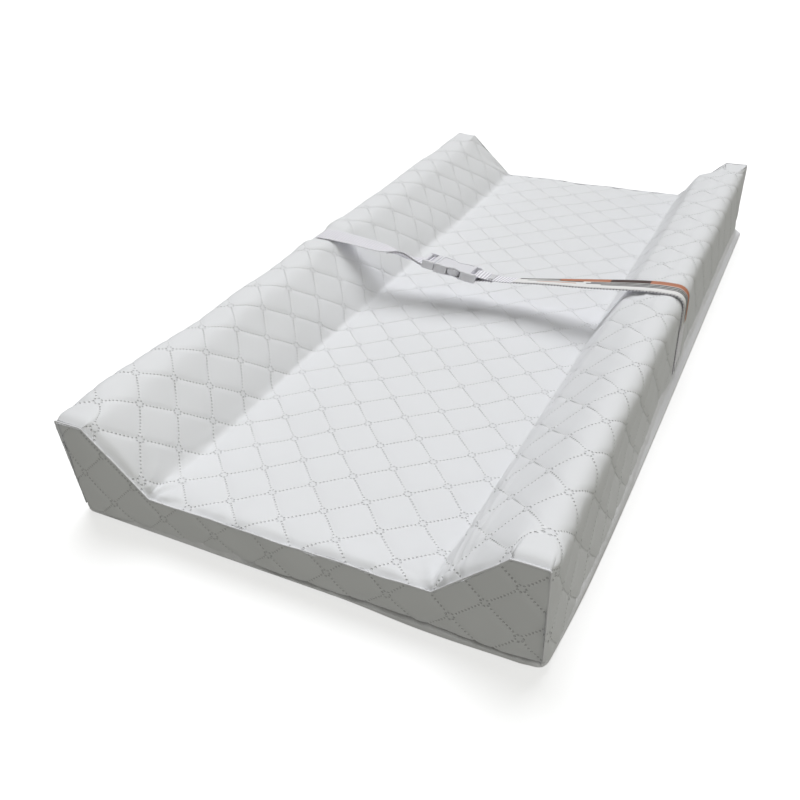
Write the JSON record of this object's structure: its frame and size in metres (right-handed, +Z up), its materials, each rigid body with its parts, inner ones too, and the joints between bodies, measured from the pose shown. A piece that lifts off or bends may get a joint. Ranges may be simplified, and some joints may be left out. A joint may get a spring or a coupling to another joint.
{
  "type": "changing pad",
  "caption": "Contoured changing pad: foam trough in a quilted white vinyl cover, with webbing strap and side-release buckle.",
  "frame": {"origin": "centre of the pad's underside, on the plane it rests on", "axes": "+Z up; +Y along the pad from the front end to the rear end; +X across it from the left bolster to the right one"},
  "size_m": [0.4204, 0.821, 0.0978],
  "materials": {
    "quilted_vinyl": "soft white vinyl laminate, satin, welded diamond quilting",
    "plain_vinyl": "plain white vinyl sheet, satin",
    "foam": "open-cell polyurethane foam, cut surface",
    "webbing": "ribbed white polyester webbing",
    "label": "blank satin ribbon with one plain orange edge stripe",
    "thread": "white polyester sewing thread",
    "plastic": "white moulded acetal, semi-gloss"
  },
  "bodies": {
    "pad": {"foam_base_slab": "foam", "foam_bolster_left": "foam", "foam_bolster_right": "foam", "cover_top_panel": "quilted_vinyl", "cover_end_panel_front": "quilted_vinyl", "cover_end_panel_rear": "quilted_vinyl", "cover_bottom_panel": "plain_vinyl", "seam_welt_front": "plain_vinyl", "seam_welt_rear": "plain_vinyl", "strap_webbing_left": "webbing", "strap_webbing_right": "webbing", "strap_label": "label", "anchor_bartack_left": "thread", "anchor_bartack_right": "thread", "loop_bartack": "thread", "buckle_housing": "plastic"},
    "tongue": {"buckle_tongue": "plastic"},
    "front_prong": {"buckle_prong_front": "plastic"},
    "rear_prong": {"buckle_prong_rear": "plastic"}
  },
  "joints": [
    {"name": "buckle_release", "type": "slide", "parent": "pad", "child": "tongue", "axis": [-0.9809, -0.0686, 0.1822], "range_m": [0, 0.03], "deforming": ["strap_webbing_left", "buckle_prong_front", "buckle_prong_rear"]},
    {"name": "front_prong_squeeze", "type": "hinge", "parent": "tongue", "child": "front_prong", "pos_m": [-0.05365, -0.00636, 0.08262], "axis": [0.1669, 0.1857, 0.9683], "range_deg": [0, 9], "stiffness_Nm_per_rad": 0.04},
    {"name": "rear_prong_squeeze", "type": "hinge", "parent": "tongue", "child": "rear_prong", "pos_m": [-0.05576, 0.01423, 0.07903], "axis": [0.1669, 0.1857, 0.9683], "range_deg": [-9, 0], "stiffness_Nm_per_rad": 0.04}
  ],
  "couplings": [
    {"joint": "rear_prong_squeeze", "follows": "front_prong_squeeze", "ratio": -1}
  ]
}
